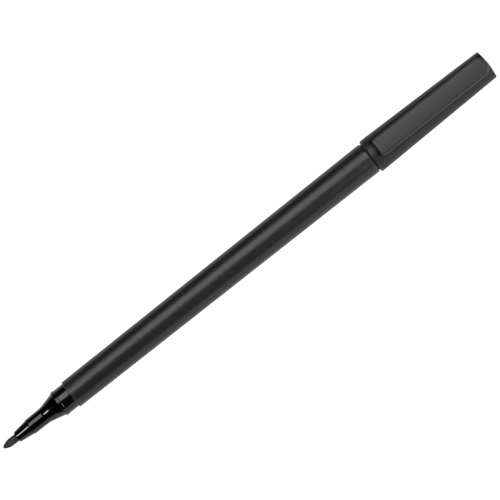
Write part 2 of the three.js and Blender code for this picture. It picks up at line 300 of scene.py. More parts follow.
# %% Nose moulding, outside and inside in one section
nose_front = -17.8
bead_front = -4
bead_radius = 3.663
collar_radius = 3.583
spigot_end = 9
spigot_bore_radius = 2.438
channel_rear = -7.75
channel_front = -13.1
channel_radius = 1.38
grip_radius = 1.11

nose = draw_section("nose_moulding", barrel_face_x, [
    (nose_front, grip_radius, 0.05),
    (nose_front, 1.51, 0.12),
    (-13.75, 2.035, 0.12),
    (-13.4, 2.2, 0.12),
    (-8.45, 2.243, 0.9),
    (bead_front, 3.388, 0.03),
    (bead_front, bead_radius, 0.1),
    (-3.15, bead_radius, 0.1),
    (-3.05, collar_radius, 0.05),
    (-0.12, collar_radius, 0),
    (0, 3.703, 0),
    (0, bore_radius(0) - spigot_play, 0),
    *snap_ring(nose_snap, spigot_play),
    (spigot_end, bore_radius(spigot_end) - spigot_play, 0.4),
    (spigot_end, spigot_bore_radius, 0),
    (-3.3, spigot_bore_radius, 0.4),
    (channel_rear, channel_radius, 0.2),
    (-12.8, channel_radius, 0),
    (channel_front, grip_radius, 0),
])
spin_section()
close_piece(nose)
grip_ends = (barrel_face_x + channel_front * MM, barrel_face_x + channel_rear * MM)
add_ribs(nose, 6, 0.45, grip_ends, (grip_radius, channel_radius + 0.2))
close_piece(nose)

# %% [markdown]
# ## The barrel
#
# The barrel is a long tube, a little thicker at the tail than at the nose, so that it slides off
# its core in the mould. Both ends have a small radius where the tool was relieved. Inside are a
# groove for each snap ring and six low ribs that centre the ink bundle. A black outline on white
# looks thinner than it is, so the outsides of the nose, the barrel and the cap are drawn 0.05 to
# 0.06 mm fuller than in the CAD, and the nib 0.03 mm.

# %% Barrel
barrel_end = 98.8
barrel = draw_section("barrel_tube", barrel_face_x, [
    (0, bore_front_radius, 0.1),
    (0, 3.973, 0.07),
    (barrel_end, 4.413, 0.06),
    (barrel_end, bore_rear_radius, 0.1),
    *snap_ring(plug_snap, 0)[::-1],
    *snap_ring(nose_snap, 0)[::-1],
])
spin_section()
close_piece(barrel)
rib_ends = (barrel_face_x + 10.5 * MM, barrel_face_x + 90.2 * MM)
add_ribs(barrel, 6, 0.5, rib_ends, (2.888, 3.633))
close_piece(barrel)

# %% [markdown]
# ## The ink bundle and its film
#
# Nothing splashes inside a marker: the ink is held in a bundle of fibre, wrapped in a thin film.
# The nib's rear end pierces the bundle, so its front has a hole of the nib's own shape.

# %% Ink bundle and film
bundle_low, bundle_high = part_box("ink_reservoir")
bundle_length = (bundle_high.x - bundle_low.x) / MM
bundle_radius = 2.728
film_radii = (2.758, 2.838)
hole_radius = 1.14
hole_play = 0.1
hole_end = barrel_face_x / MM + nib_rear + hole_play - bundle_low.x / MM
bundle = draw_section("ink_bundle", bundle_low.x, [
    (0, hole_radius, 0.1),
    (0, bundle_radius, 0.25),
    (bundle_length, bundle_radius, 0.25),
    (bundle_length, 0, 0),
    (hole_end, 0, 0),
    (hole_end, nib_rear_radius + hole_play, 0),
    (hole_end - nib_taper_length, hole_radius, 0),
])
spin_section(THIN_SIDES)
close_piece(bundle)

film = draw_section("bundle_film", bundle_low.x, [
    (0, film_radii[0], 0),
    (0, film_radii[1], 0),
    (bundle_length, film_radii[1], 0),
    (bundle_length, film_radii[0], 0),
])
spin_section(THIN_SIDES)
close_piece(film)

# %% [markdown]
# ## The tail plug
#
# The plug closes the back of the barrel. It is a deep cup: inside the barrel crossed arms stop the
# ink bundle, and outside it repeats the nose's collar and flare, so that the cap grips it just as
# well. Only its thin flange shows while the cap is posted, as the dark line between barrel and
# cap. It is drawn 0.1 mm smaller in radius than in the CAD, which makes the line darker.

# %% Tail plug
plug_mouth = 91.7
plug_bore_radius = bore_radius(plug_mouth) - 0.85
flange_end = 99.2
flange_radius = 4.053
tail_radius = 3.533
tail_floor = 106.0
tail_end = 106.8

plug = draw_section("tail_plug", barrel_face_x, [
    (plug_mouth, plug_bore_radius, 0),
    (plug_mouth, bore_radius(plug_mouth) - spigot_play, 0.4),
    *snap_ring(plug_snap, spigot_play),
    (barrel_end, bore_radius(barrel_end) - spigot_play, 0),
    (barrel_end, flange_radius, 0.05),
    (flange_end, flange_radius, 0.08),
    (flange_end, tail_radius, 0.08),
    (102.9, tail_radius, 0.1),
    (103.2, 3.178, 0.1),
    (tail_end, 2.252, 0.3),
    (tail_end, 0, 0),
    (tail_floor, 0, 0),
    (tail_floor, 1.452, 0.2),
    (102.4, plug_bore_radius, 0.2),
])
spin_section()
close_piece(plug)
arm_ends = (barrel_face_x + plug_mouth * MM, barrel_face_x + 96.7 * MM)
add_ribs(plug, 4, 0.6, arm_ends, (-0.2, bore_radius(plug_mouth) - 0.65))
close_piece(plug)

# %% [markdown]
# ## The sealing cup
#
# A soft cup sits inside the cap, and its lip closes on the nose's flare when the marker is put
# away. The lip is bevelled to the slope of the flare, so that it touches along a ring.

# %% Sealing cup
cup_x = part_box("inner_cap")[0].x
cup_length = 20
cup_radius = 3.498
cup_bore_radius = 2.998
cup_floor = cup_length - 0.5
cup = draw_section("sealing_cup", cup_x, [
    (0, 3.148, 0.05),
    (0, cup_radius, 0.08),
    (cup_length, cup_radius, 0.3),
    (cup_length, 0, 0),
    (cup_floor, 0, 0),
    (cup_floor, cup_bore_radius, 0.3),
    (0.583, cup_bore_radius, 0),
])
spin_section()
close_piece(cup)

# %% [markdown]
# ## The cap
#
# The cap is a drafted shell: it is widest at its mouth and narrows towards the closed end, with
# 1.2 degrees of draft. The mouth's edge has a generous radius, for the fingers. The closed end is
# a low dome, 0.4 mm high, with the round dimple where the plastic entered the mould, and a small
# sprue stub that stands just below the surface. On top, a raised seat carries the clip, with a
# slot for the clip's tenon.

# %% Cap shell
cap_draft = math.radians(1.154)


def cap_radius(x):
    """Outside radius of the drafted cap, x from its mouth."""
    return 4.898 - x * math.tan(cap_draft)


cap_length = (cap_end_x - cap_mouth_x) / MM
cup_end = (cup_x - cap_mouth_x) / MM + cup_length
mouth_face = -0.12
dome_height = 0.42
dome_foot = cap_length - dome_height
dome = [(cap_length - dome_height * (r / cap_radius(dome_foot)) ** 2, r, 0)
        for r in (3.4, 2.8, 2.2, 1.6, 1.2)]
dimple_floor = cap_length - 0.15
stub_top = cap_length - 0.04
end_wall = cap_length - 4.2
end_bore_radius = 2.948
cup_bed_radius = 3.548
cap_bore_radius = 3.648
ridge_radius = 3.593

cap = draw_section("cap_moulding", cap_mouth_x, [
    (mouth_face, 4.148, 0.15),
    (mouth_face, cap_radius(0), 0.5),
    (dome_foot, cap_radius(dome_foot), 0.16),
    *dome,
    (cap_length, 0.8, 0.05),
    (dimple_floor, 0.7, 0.05),
    (dimple_floor, 0.32, 0),
    (stub_top, 0.28, 0.03),
    (stub_top, 0, 0),
    (end_wall, 0, 0),
    (end_wall, end_bore_radius, 0.5),
    (cup_end, end_bore_radius, 0),
    (cup_end, cup_bed_radius, 0),
    (cup_end - (cup_length + 0.1), cup_bed_radius, 0),
    (cup_end - (cup_length + 0.2), cap_bore_radius, 0),
    (2.6, cap_bore_radius, 0),
    (2.4, ridge_radius, 0),
    (2.0, ridge_radius, 0),
    (1.8, cap_bore_radius, 0),
    (0.5, cap_bore_radius, 0),
])
spin_section()
close_piece(cap)

# %% Clip seat and slot
seat_height = (clip_seat_z - axis_z) / MM
seat_length = 3.75
seat_side = 1.9
tenon_start = 2.35  # how far the tenon's two ends lie before the clip's root
tenon_stop = 0.75
tenon_side = 1.2
tenon_depth = 2.2
slot_play = 0.3

seat = add_bar(
    "seat",
    (clip_root_x - seat_length * MM, -seat_side, 3.2),
    (clip_root_x - 0.15 * MM, seat_side, seat_height),
)
bpy.ops.object.mode_set(mode="EDIT")
choose("EDGE", lambda e: abs(e.verts[0].co.z - e.verts[1].co.z) > MM
       and e.verts[0].co.x < clip_root_x - 3 * MM)
bpy.ops.mesh.bevel(offset=0.5 * MM, segments=5)
bpy.ops.object.mode_set(mode="OBJECT")
combine(cap, seat, "UNION")

slot_side = tenon_side + slot_play
slot = add_bar(
    "slot",
    (clip_root_x - (tenon_start + slot_play) * MM, -slot_side,
     seat_height - (tenon_depth + slot_play)),
    (clip_root_x - (tenon_stop - slot_play) * MM, slot_side, seat_height + 2),
)
combine(cap, slot, "DIFFERENCE")
bpy.ops.object.mode_set(mode="EDIT")
close_piece(cap)

# %% [markdown]
# ## The pocket clip
#
# The clip is a flat tongue, a little thinner at its free end, that lies parallel to the cap's
# slope. It is moulded on its own and pressed into the slot by a tenon. It starts as a cube at the
# tongue's size. The corners of its plan are bevelled first, then the top edge gets its soft
# bevel, and last the underside is cut across and moved to its profile, with the bump that grips
# the pocket. Cutting only the bottom faces leaves the top in one piece, without a ripple.

# %% The tongue's plan and top edge
clip_length = 36.2
clip_width = 5.2
clip_root_thickness = 1.15
clip_tongue_thickness = 0.95


def clip_place(x, y, z):
    """A place on the clip, in mm from its root on the seat."""
    return Vector((clip_root_x + x * MM, y * MM, clip_seat_z + z * MM))


bpy.ops.object.select_all(action="DESELECT")
bpy.ops.mesh.primitive_cube_add(
    size=1,
    location=clip_place(-clip_length / 2, 0, clip_root_thickness / 2),
    scale=(clip_length * MM, clip_width * MM, clip_root_thickness * MM),
)
clip = open_piece("clip_tongue")
middle_x = clip_place(-clip_length / 2, 0, 0).x
for corner, at_root in ((2.1, True), (1.0, False)):
    choose("EDGE", lambda e: abs(e.verts[0].co.z - e.verts[1].co.z) > 0.5 * MM
           and (e.verts[0].co.x > middle_x) == at_root)
    bpy.ops.mesh.bevel(offset=corner * MM, segments=9)
choose("VERT", lambda v: v.co.z > clip_seat_z + 0.5 * MM)
bpy.ops.transform.rotate(
    value=-cap_draft, orient_axis="Y",
    center_override=clip_place(0, 0, clip_root_thickness),
)
rise = max(v.co.z for v in bmesh.from_edit_mesh(clip.data).verts) - clip_seat_z
print(f"free end stands {rise / MM:.3f} mm above the seat")
choose("FACE", lambda f: f.normal.z > 0.9)
bpy.ops.mesh.region_to_loop()
bpy.ops.mesh.bevel(offset=0.62 * MM, segments=6)

# %% The underside and its bump
bump_gap = 0.3
bump_middle = -33.5
bump_flat = 0.65  # half the bump's flat
bump_foot = 1.8  # half the bump's foot
bump_height = cap_radius((clip_root_x - cap_mouth_x) / MM + bump_middle) + bump_gap - seat_height


def plain_underside(x):
    """Height of the underside where the tongue has its plain thickness."""
    return clip_root_thickness - clip_tongue_thickness - x * math.tan(cap_draft)


underside = [
    (-38, plain_underside(-38)),
    (bump_middle - bump_foot, plain_underside(bump_middle - bump_foot)),
    (bump_middle - bump_flat, bump_height),
    (bump_middle + bump_flat, bump_height),
    (bump_middle + bump_foot, plain_underside(bump_middle + bump_foot)),
    (-seat_length, 0),
    (1, 0),
]


def underside_height(x):
    """Height of the underside above the seat, at x mm from the root."""
    for (x0, z0), (x1, z1) in zip(underside, underside[1:]):
        if x0 <= x <= x1:
            return z0 + (z1 - z0) * (x - x0) / (x1 - x0)


def looks_down(face):
    """Whether a face is on the tongue's underside."""
    return face.normal.z < -0.9


def cut_bottom(place, normal):
    """Cuts only the bottom faces along a plane."""
    choose("FACE", looks_down)
    bpy.ops.mesh.bisect(plane_co=place, plane_no=normal)


for x in [corner for corner, _ in underside[1:-1]] + [-tenon_start, -tenon_stop]:
    cut_bottom(clip_place(x, 0, 0), (1, 0, 0))
for y in (-tenon_side, tenon_side):
    cut_bottom(clip_place(0, y, 0), (0, 1, 0))


def is_bottom(v):
    """Whether a vertex still lies at the height of the seat."""
    return abs(v.co.z - clip_seat_z) < SAME_PLACE


bottom = [v.co.x for v in bmesh.from_edit_mesh(clip.data).verts if is_bottom(v)]
for x in sorted(set(round(x, 7) for x in bottom)):
    step = underside_height((x - clip_root_x) / MM) * MM
    if abs(step) > SAME_PLACE:
        choose("VERT", lambda v: is_bottom(v) and abs(v.co.x - x) < 10 * SAME_PLACE)
        bpy.ops.transform.translate(value=(0, 0, step))

# %% The tenon, and soft edges all round
tenon_low = clip_place(-tenon_start, -tenon_side, 0)
tenon_high = clip_place(-tenon_stop, tenon_side, 0)


def on_tenon(face):
    """Whether a face is where the tenon grows from the underside."""
    centre = face.calc_center_median()
    return (looks_down(face) and tenon_low.x < centre.x < tenon_high.x
            and tenon_low.y < centre.y < tenon_high.y)


choose("FACE", on_tenon)
bpy.ops.mesh.extrude_region_move(
    TRANSFORM_OT_translate={"value": (0, 0, -tenon_depth * MM)})
bpy.ops.mesh.select_all(action="SELECT")
bpy.ops.mesh.dissolve_limited(angle_limit=math.radians(0.2))
bpy.ops.object.mode_set(mode="OBJECT")
bpy.ops.object.modifier_add(type="BEVEL")
soft = clip.modifiers[-1]
soft.width = 0.1 * MM
soft.segments = 2
soft.limit_method = "ANGLE"
soft.angle_limit = math.radians(40)
bpy.ops.object.modifier_apply(modifier=soft.name)
bpy.ops.object.mode_set(mode="EDIT")
close_piece(clip)

# %% [markdown]
# ## Which body each piece rides on
#
# The marker moves in two ways: the cap pulls off the tail, and the clip bends away from the cap.
# Each new piece stands for its CAD node and moves with that node's body.

# %% Tie the pieces to the frame
for piece, node, body, slot_name in (
    (nib, "nib", "pen", "nib_fibre"),
    (nose, "nose_section", "pen", "nose_plastic"),
    (barrel, "barrel", "pen", "barrel_plastic"),
    (bundle, "ink_reservoir", "pen", "reservoir_fibre"),
    (film, "reservoir_film", "pen", "film"),
    (plug, "end_plug", "pen", "plug_plastic"),
    (cup, "inner_cap", "cap", "inner_cap_plastic"),
    (cap, "cap_shell", "cap", "cap_plastic"),
    (clip, "pocket_clip", "clip", "clip_plastic"),
):
    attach(piece, body)
    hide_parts(node)
    print(piece.name, "stands for", node, "on", body)

# %% [markdown]
# ## How a finish is built
#
# Each finish is a small net of nodes that ends in one Principled shader. Its patterns are worked
# out from a place on the marker in metres, so a grain that is 0.3 mm wide has a scale of
# 1 / 0.3 mm. One helper adds a node and links it, whatever its kind. The common kinds have a short
# helper each, which hands on the output that the next node takes. Colours are written as in a
# paint program.

# %% Colour and node helpers
NOISE_RANGE = (0.3, 0.7)  # most of a noise lies between these
POLYPROPYLENE_IOR = 1.49


def to_linear(code):
    """A colour written as in a paint program, #rrggbb, as the linear light that shaders use."""
    values = [int(code[i:i + 2], 16) / 255 for i in (1, 3, 5)]
    linear = [v / 12.92 if v <= 0.04045 else ((v + 0.055) / 1.055) ** 2.4 for v in values]
    return (*linear, 1)


def add_node(material, kind, inputs=None, **settings):
    """Adds a node, sets its options, and fills its inputs with values or with other outputs."""
    node = material.node_tree.nodes.new(kind)
    for name, value in settings.items():
        setattr(node, name, value)
    for name, value in (inputs or {}).items():
        if isinstance(value, bpy.types.NodeSocket):
            material.node_tree.links.new(value, node.inputs[name])
        else:
            node.inputs[name].default_value = value
    return node


def new_material(name):
    """An empty material and the place on the marker that its patterns are worked out from."""
    material = bpy.data.materials.new(name)
    material.use_nodes = True
    material.node_tree.nodes.clear()
    return material, add_node(material, "ShaderNodeTexCoord").outputs["Object"]


def stretch(material, place, scale):
    """Scales the space of a pattern: a number under 1 draws the pattern out along that axis."""
    node = add_node(material, "ShaderNodeMapping", {"Vector": place, "Scale": scale})
    return node.outputs["Vector"]


def noise(material, place, width, detail, **others):
    """Soft random spots of this width in mm."""
    node = add_node(material, "ShaderNodeTexNoise", {
        "Vector": place, "Scale": 1 / (width * MM), "Detail": detail, **others})
    return node.outputs["Fac"]


def split(material, place):
    """The x, y and z of a place, each as an output of its own."""
    return add_node(material, "ShaderNodeSeparateXYZ", {"Vector": place}).outputs


def mask(material, value, start, end):
    """A smooth step from 0, where the value is start, to 1, where it is end."""
    node = add_node(material, "ShaderNodeMapRange", {
        "Value": value, "From Min": start, "From Max": end}, interpolation_type="SMOOTHSTEP")
    return node.outputs["Result"]


def ramp(material, value, start, end, low, high):
    """A straight line from low, where the value is start, to high, where it is end."""
    node = add_node(material, "ShaderNodeMapRange", {
        "Value": value, "From Min": start, "From Max": end, "To Min": low, "To Max": high})
    return node.outputs["Result"]


def calculate(material, operation, *values):
    """One step of arithmetic on numbers and outputs."""
    node = add_node(material, "ShaderNodeMath", dict(enumerate(values)), operation=operation)
    return node.outputs[0]


def mix_colours(material, factor, *colours):
    """Mixes two colours, which are the Mix node's inputs 6 and 7 and come out of its output 2."""
    first, second = [to_linear(c) if isinstance(c, str) else c for c in colours]
    node = add_node(material, "ShaderNodeMix", {
        "Factor": factor, 6: first, 7: second}, data_type="RGBA")
    return node.outputs[2]


def bump(material, height, strength, depth, below=None):
    """Relief of this depth in mm, laid over the relief below it where there is one."""
    inputs = {"Height": height, "Strength": strength, "Distance": depth * MM}
    if below is not None:
        inputs["Normal"] = below
    return add_node(material, "ShaderNodeBump", inputs).outputs["Normal"]


def paint(piece, material, inputs):
    """Ends the net with its Principled shader and gives the finish to a piece."""
    surface = add_node(material, "ShaderNodeBsdfPrincipled", inputs).outputs["BSDF"]
    add_node(material, "ShaderNodeOutputMaterial", {"Surface": surface})
    piece.data.materials.clear()
    piece.data.materials.append(material)
    print(f"{piece.name}: {material.name}, {len(material.node_tree.nodes)} nodes")


# %% [markdown]
# ## Texture and wear
#
# Barrel, cap and clip share a good part of their finish. Their edges are rubbed smooth by pockets
# and fingers, but only in patches. Handled plastic is not equally matt all over either, because
# skin grease fills its texture here and there. Barrel and cap come from moulds that were textured
# by spark erosion. The sparks leave shallow round pits, so the surface scatters a highlight into a
# broad soft band. The pits are about 0.1 mm wide. One pixel of the picture covers 0.26 mm, so they
# are drawn 0.35 mm wide.

# %% Helpers for texture and wear
PIT_WIDTH = 0.35


def rub(material, place, first_edge, second_edge, patch_width):
    """Patches of this width in mm, and how much is rubbed away where they lie on an edge."""
    edges = calculate(material, "MAXIMUM", first_edge, second_edge)
    patches = noise(material, place, patch_width, 4.0)
    return patches, calculate(material, "MULTIPLY", edges, patches)


def satin(material, patches, rubbed, matt, greasy, polish):
    """Roughness between matt and greasy in patches, and less by the polish where it is rubbed."""
    skin = ramp(material, patches, *NOISE_RANGE, matt, greasy)
    return calculate(material, "MULTIPLY_ADD", rubbed, -polish, skin)


def spark_pits(material, place, below=None):
    """The relief of a mould textured by spark erosion."""
    pits = add_node(material, "ShaderNodeTexVoronoi", {
        "Vector": place, "Scale": 1 / (PIT_WIDTH * MM), "Randomness": 1.0}, feature="SMOOTH_F1")
    return bump(material, pits.outputs["Distance"], 0.5, 0.03, below)


# %% [markdown]
# ## The barrel's plastic
#
# The barrel is polypropylene, coloured through with carbon black. The pigment is never mixed quite
# evenly, which gives faint clouds along the flow, and both ends are polished a little by the cap's
# mouth and by fingers.

# %% Spark-eroded black polypropylene
barrel_plastic, place = new_material("barrel polypropylene, spark-eroded")

flow = stretch(barrel_plastic, place, (0.2, 1, 1))
cloud = noise(barrel_plastic, flow, 3, 3.0, Roughness=0.55)
pigment = mix_colours(barrel_plastic, cloud, "#171718", "#222223")

along_pen = split(barrel_plastic, place)["X"]
front_edge = mask(barrel_plastic, along_pen, barrel_low.x + 1.2 * MM, barrel_low.x)
rear_edge = mask(barrel_plastic, along_pen, barrel_high.x - 1.2 * MM, barrel_high.x)
patches, rubbed = rub(barrel_plastic, place, front_edge, rear_edge, 1.6)
colour = mix_colours(barrel_plastic, rubbed, pigment, "#343435")
rough = satin(barrel_plastic, patches, rubbed, matt=0.36, greasy=0.31, polish=0.14)
pitted = spark_pits(barrel_plastic, place)
paint(barrel, barrel_plastic, {
    "Base Color": colour, "Roughness": rough, "IOR": POLYPROPYLENE_IOR, "Normal": pitted})

# %% [markdown]
# ## The cap's plastic
#
# The cap is the same polypropylene from a mould of its own. It is pulled off its core along the
# axis, and the texture drags a little: under the pits lie faint streaks along X, half a millimetre
# apart. The mouth's rim and the closed end touch pockets and tables, so they are rubbed smoother.
# A dull dark band along the clip's upper left side and round its free end is painted shade.

# %% Drafted black polypropylene
cap_plastic, place = new_material("cap polypropylene, spark-eroded")

flow = stretch(cap_plastic, place, (0.25, 1, 1))
cloud = noise(cap_plastic, flow, 2.5, 3.0)
pigment = mix_colours(cap_plastic, cloud, "#111112", "#1c1c1d")

on_cap = split(cap_plastic, place)
mouth_edge = mask(cap_plastic, on_cap["X"], cap_mouth_x + 0.8 * MM, cap_mouth_x)
end_edge = mask(cap_plastic, on_cap["X"], cap_end_x - 1 * MM, cap_end_x)
patches, rubbed = rub(cap_plastic, place, mouth_edge, end_edge, 1.4)
worn = mix_colours(cap_plastic, rubbed, pigment, "#323233")

# Painted shade of the clip on the cap's top: near black by its upper left side and its free end,
# none at its lower right
clip_free_x = clip_root_x - clip_length * MM
clip_side_y = clip_width / 2 * MM
far_side = mask(cap_plastic, on_cap["Y"], clip_side_y + 1.1 * MM, clip_side_y)
near_side = mask(cap_plastic, on_cap["Y"], 0.2 * MM - clip_side_y, 1.4 * MM - clip_side_y)
before = mask(cap_plastic, on_cap["X"], clip_free_x - 1.1 * MM, clip_free_x)
above = ramp(cap_plastic, on_cap["Z"], axis_z + 1 * MM, axis_z + 2.5 * MM, 0, 1)
painted_clip_shade = before
for limit in (above, far_side, near_side):
    painted_clip_shade = calculate(cap_plastic, "MULTIPLY", painted_clip_shade, limit)
# Painted shade: the colour goes near black and the reflection is lowered where the clip's shadow
# falls
colour = mix_colours(cap_plastic, painted_clip_shade, worn, "#080809")
shine = ramp(cap_plastic, painted_clip_shade, 0, 1, 0.5, 0.15)
rough = satin(cap_plastic, patches, rubbed, matt=0.5, greasy=0.45, polish=0.14)

drag = stretch(cap_plastic, place, (0.04, 1, 1))
streaks = noise(cap_plastic, drag, 0.5, 1.0)
streaked = bump(cap_plastic, streaks, 0.2, 0.02)
pitted = spark_pits(cap_plastic, place, streaked)
paint(cap, cap_plastic, {
    "Base Color": colour, "Roughness": rough, "IOR": POLYPROPYLENE_IOR,
    "Specular IOR Level": shine, "Normal": pitted})

# %% [markdown]
# ## The clip's plastic
#
# The clip's mould was blasted with fine glass beads, which gives a more even satin than sparks do.
# A clip slides in and out of a pocket, so its long edges and its free end are the most rubbed
# places on the marker. The distance from the middle line says how near to an edge a point is, and
# fine scratches along the tongue show where cloth has dragged over it.

# %% Bead-blasted black polypropylene
clip_plastic, place = new_material("clip polypropylene, bead-blasted")

cloud = noise(clip_plastic, place, 4, 2.0)
pigment = mix_colours(clip_plastic, cloud, "#1f1f20", "#272828")

clip_low, clip_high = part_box("pocket_clip")
on_clip = split(clip_plastic, place)
from_middle = calculate(clip_plastic, "ABSOLUTE", on_clip["Y"])
long_edges = mask(clip_plastic, from_middle, clip_high.y - 0.5 * MM, clip_high.y)
free_end = mask(clip_plastic, on_clip["X"], clip_low.x + 0.6 * MM, clip_low.x)
patches, rubbed = rub(clip_plastic, place, long_edges, free_end, 1.2)
colour = mix_colours(clip_plastic, rubbed, pigment, "#323233")
rough = satin(clip_plastic, patches, rubbed, matt=0.42, greasy=0.38, polish=0.1)

cloth = stretch(clip_plastic, place, (0.03, 1, 1))
scratches = noise(clip_plastic, cloth, 0.4, 2.0)
scratched = bump(clip_plastic, scratches, 0.15, 0.02)
beads = noise(clip_plastic, place, 0.3, 1.0)
blasted = bump(clip_plastic, beads, 0.2, 0.02, scratched)
paint(clip, clip_plastic, {
    "Base Color": colour, "Roughness": rough, "IOR": POLYPROPYLENE_IOR, "Normal": blasted})

# %% [markdown]
# ## The nose's plastic
#
# The nose comes from a mould that was polished with diamond paste, so it is almost a mirror: black
# where nothing bright stands in front of it, with narrow hard highlights. Two things keep it from
# looking like glass. The skin of a moulding is never quite flat, which bends the highlights a very
# little, and the cap's bore leaves fine rings of scuff on the collar and the bead, where it slides.

# %% Polished black polypropylene
nose_plastic, place = new_material("nose polypropylene, diamond-polished")

bead_x = barrel_face_x + bead_front * MM
along_nose = split(nose_plastic, place)["X"]
collar = mask(nose_plastic, along_nose, bead_x - 0.4 * MM, bead_x + 0.4 * MM)
slide = stretch(nose_plastic, place, (1, 0.12, 0.12))
rings = noise(nose_plastic, slide, 0.35, 3.0)
scuff = calculate(nose_plastic, "MULTIPLY", rings, collar)
colour = mix_colours(nose_plastic, scuff, "#040404", "#0d0d0e")
rough = ramp(nose_plastic, scuff, *NOISE_RANGE, 0.06, 0.12)
skin = noise(nose_plastic, place, 2.2, 1.0)
flowed = bump(nose_plastic, skin, 0.3, 0.04)
scuffed = bump(nose_plastic, scuff, 0.1, 0.01, flowed)
paint(nose, nose_plastic, {
    "Base Color": colour, "Roughness": rough, "IOR": POLYPROPYLENE_IOR, "Normal": scuffed})

# %% [markdown]
# ## The nib's fibre
#
# The nib is acrylic fibre, drawn together, bonded with resin and ground to its point. The fibres
# are 0.02 mm thick, far under a pixel, so they are drawn as bundles 0.4 mm wide and some
# millimetres long. Wet ink makes the grooves between them nearly black. Where the fibres stand
# proud they catch the light and look grey, most of all on the ground point, where their cut ends
# show as grains.

# %% Bonded fibre, inked
nib_fibre, place = new_material("nib acrylic fibre, bonded and inked")

lengthwise = stretch(nib_fibre, place, (0.12, 1, 1))
strands = noise(nib_fibre, lengthwise, 0.4, 3.0, Roughness=0.6)
grains = noise(nib_fibre, place, 0.45, 2.0, Roughness=0.6)
along_nib = split(nib_fibre, place)["X"]
point = mask(nib_fibre, along_nib, barrel_face_x + (nib_tip + 2.2) * MM,
             barrel_face_x + (nib_tip + 0.6) * MM)
fibre = add_node(nib_fibre, "ShaderNodeMix", {
    "Factor": point, "A": strands, "B": grains}).outputs[0]
shade = ramp(nib_fibre, fibre, 0.4, 0.62, 0, 1)
colour = mix_colours(nib_fibre, shade, "#0e0e10", "#404042")
raised = bump(nib_fibre, fibre, 0.9, 0.12)
paint(nib, nib_fibre, {"Base Color": colour, "Roughness": 0.6, "IOR": 1.35, "Normal": raised})

# %% [markdown]
# ## The finish of the ink bundle and its film
#
# The bundle is a tow of crimped polyester, soaked until it is nearly black, with a few drier
# strands that still look grey. The film round it is clear polypropylene, extruded and stretched
# thin. Where ink has crept between film and fibre it reads black, and elsewhere as a milky skin.
# Both lie inside the barrel, and show only in a part that is taken apart.

# %% Soaked polyester tow
tow, place = new_material("reservoir polyester tow, soaked")
crimp = stretch(tow, place, (0.08, 1, 1))
strands = noise(tow, crimp, 0.3, 4.0, Distortion=0.4)
colour = mix_colours(tow, strands, "#111113", "#38383b")
raised = bump(tow, strands, 0.8, 0.15)
damp = ramp(tow, strands, 0, 1, 0.55, 0.95)
paint(bundle, tow, {"Base Color": colour, "Roughness": damp, "IOR": 1.4, "Normal": raised})

# %% Stretched film, stained with ink
clear_film, place = new_material("film polypropylene, stretched")
creep = noise(clear_film, place, 5, 5.0)
stain = mask(clear_film, creep, 0.46, 0.54)
colour = mix_colours(clear_film, stain, "#d8d8d4", "#1a1a1d")
wrinkles = bump(clear_film, creep, 0.3, 0.1)
sheen = ramp(clear_film, creep, 0, 1, 0.1, 0.3)
paint(film, clear_film, {
    "Base Color": colour, "Roughness": sheen, "IOR": 1.5, "Normal": wrinkles})

# %% [markdown]
# ## The plug's and the sealing cup's plastic
#
# Nobody sees the plug's mould, so it was left as the lathe cut it: faint turning rings, drawn
# 1.6 mm apart, in a semi-gloss black. The Wave node counts 20 radians to a unit, and a ring is one
# turn of tau radians. The sealing cup is low-density polyethylene. It is softer and waxier, with a
# cloudy gloss, and its lip is polished by the nose it seals on.

# %% Turned black polypropylene
MM_PER_RADIAN = 0.25

plug_plastic, place = new_material("plug polypropylene, turned mould")
turning = add_node(plug_plastic, "ShaderNodeTexWave", {
    "Vector": place, "Scale": 1 / (20 * MM_PER_RADIAN * MM), "Distortion": 0.6, "Detail": 1.0},
    wave_type="BANDS", bands_direction="X").outputs["Fac"]
wear = noise(plug_plastic, place, 1.5, 3.0)
colour = mix_colours(plug_plastic, wear, "#070708", "#111112")
rough = ramp(plug_plastic, wear, 0, 1, 0.45, 0.65)
turned = bump(plug_plastic, turning, 0.2, 0.01)
paint(plug, plug_plastic, {
    "Base Color": colour, "Roughness": rough, "IOR": 1.4, "Normal": turned})

# %% Waxy black polyethylene
cup_plastic, place = new_material("sealing cup polyethylene, moulded")
haze = noise(cup_plastic, place, 2, 4.0)
colour = mix_colours(cup_plastic, haze, "#1e1e20", "#2c2c2e")
along_cup = split(cup_plastic, place)["X"]
lip = ramp(cup_plastic, along_cup, cup_x + 0.8 * MM, cup_x, 0, -0.2)
waxy = ramp(cup_plastic, haze, 0, 1, 0.38, 0.55)
rough = calculate(cup_plastic, "ADD", waxy, lip)
soft_skin = bump(cup_plastic, haze, 0.2, 0.05)
paint(cup, cup_plastic, {
    "Base Color": colour, "Roughness": rough, "IOR": 1.51, "Normal": soft_skin})

# %% [markdown]
# ## The camera
#
# The photograph looks almost straight down on the lying marker, turned 5 degrees about its axis, so
# that the clip's side just shows. The pen rises 38 degrees to the right in the picture. A long lens
# from 1.25 m keeps its sides parallel. The camera is built from three directions: to the right, up
# and back to the camera. Moving the target by a few pixels' worth sets the marker in the frame.

# %% Camera
PICTURE = 500
MM_PER_PIXEL = 0.2594
SHIFT_RIGHT, SHIFT_UP = 4.0, 5.6  # in pixels
ROLL = math.radians(38.43)
TURN = math.radians(5)
DISTANCE = 1.25
SENSOR = 36


def stand(position, *axes):
    """The matrix of a thing at this position, with its own x, y and z along the three axes."""
    return Matrix.Translation(position) @ Matrix(axes).transposed().to_4x4()


to_camera = Vector((0, -math.sin(TURN), math.cos(TURN)))
along = Vector((1, 0, 0))
across = to_camera.cross(along)
right = along * math.cos(ROLL) - across * math.sin(ROLL)
up = along * math.sin(ROLL) + across * math.cos(ROLL)
middle = Vector((0, 0, axis_z))
target = middle + (SHIFT_RIGHT * right + SHIFT_UP * up) * MM_PER_PIXEL * MM

